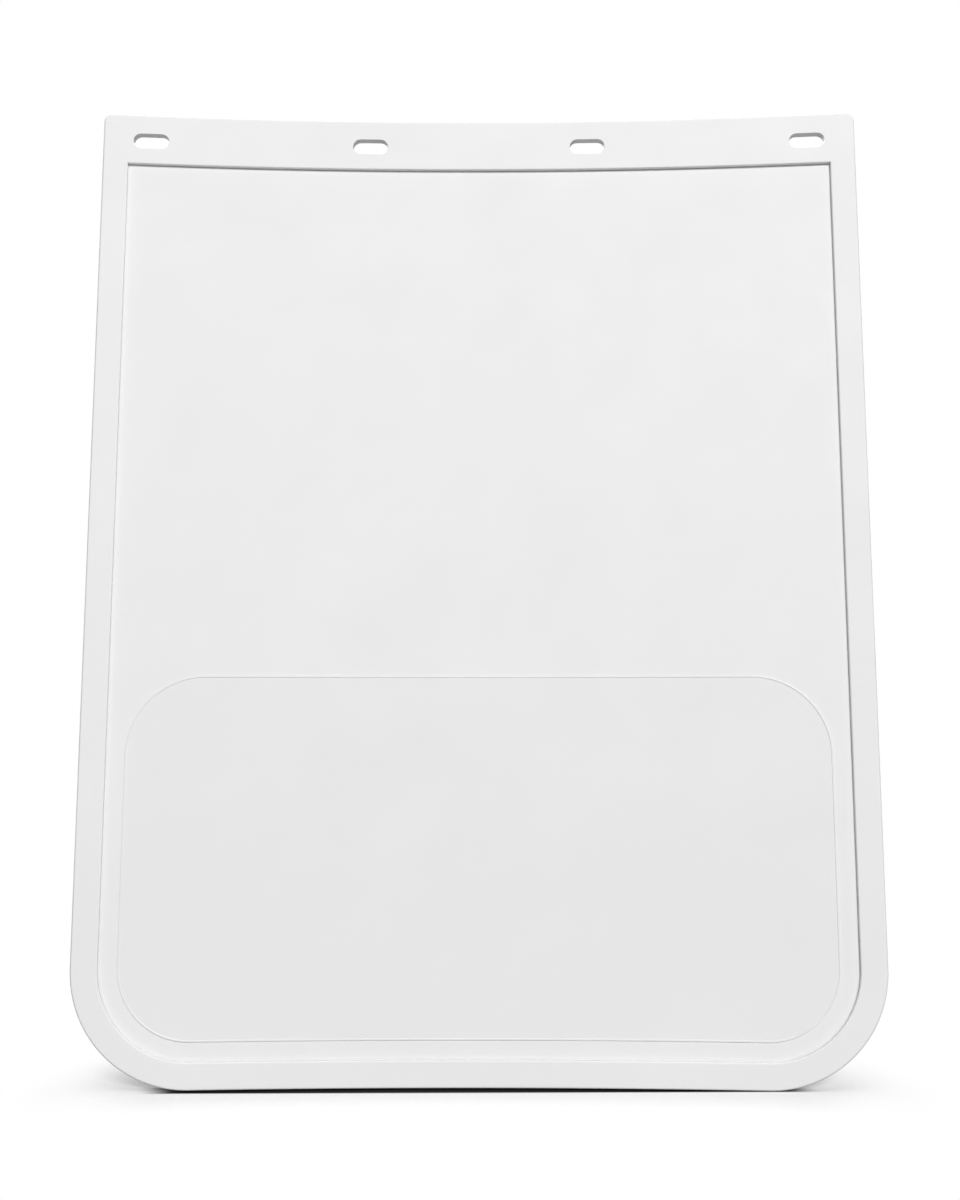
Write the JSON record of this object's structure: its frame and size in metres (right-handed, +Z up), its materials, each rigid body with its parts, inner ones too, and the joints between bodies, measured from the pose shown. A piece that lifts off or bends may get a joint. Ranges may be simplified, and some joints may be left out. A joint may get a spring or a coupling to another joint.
{
  "type": "mud flap",
  "caption": "Moulded mud flap for a truck or trailer: slotted header band, rim with large round lower corners, thin web and a raised lower pad, standing on its lower edge in a slight bow.",
  "frame": {"origin": "on the surface that the flap stands on, midway across its width and midway through the depth of its bow", "axes": "+Z up the flap towards its header, +X to the right seen from the front, -Y out of the front face, where the rim, the header and the pad stand proud"},
  "size_m": [0.6086, 0.02, 0.762],
  "materials": {
    "moulded_rubber": "white, smooth, satin matte"
  },
  "bodies": {
    "root": {"flap_sheet": "moulded_rubber", "header_band": "moulded_rubber", "rim_bead": "moulded_rubber", "lower_pad": "moulded_rubber"}
  },
  "joints": []
}
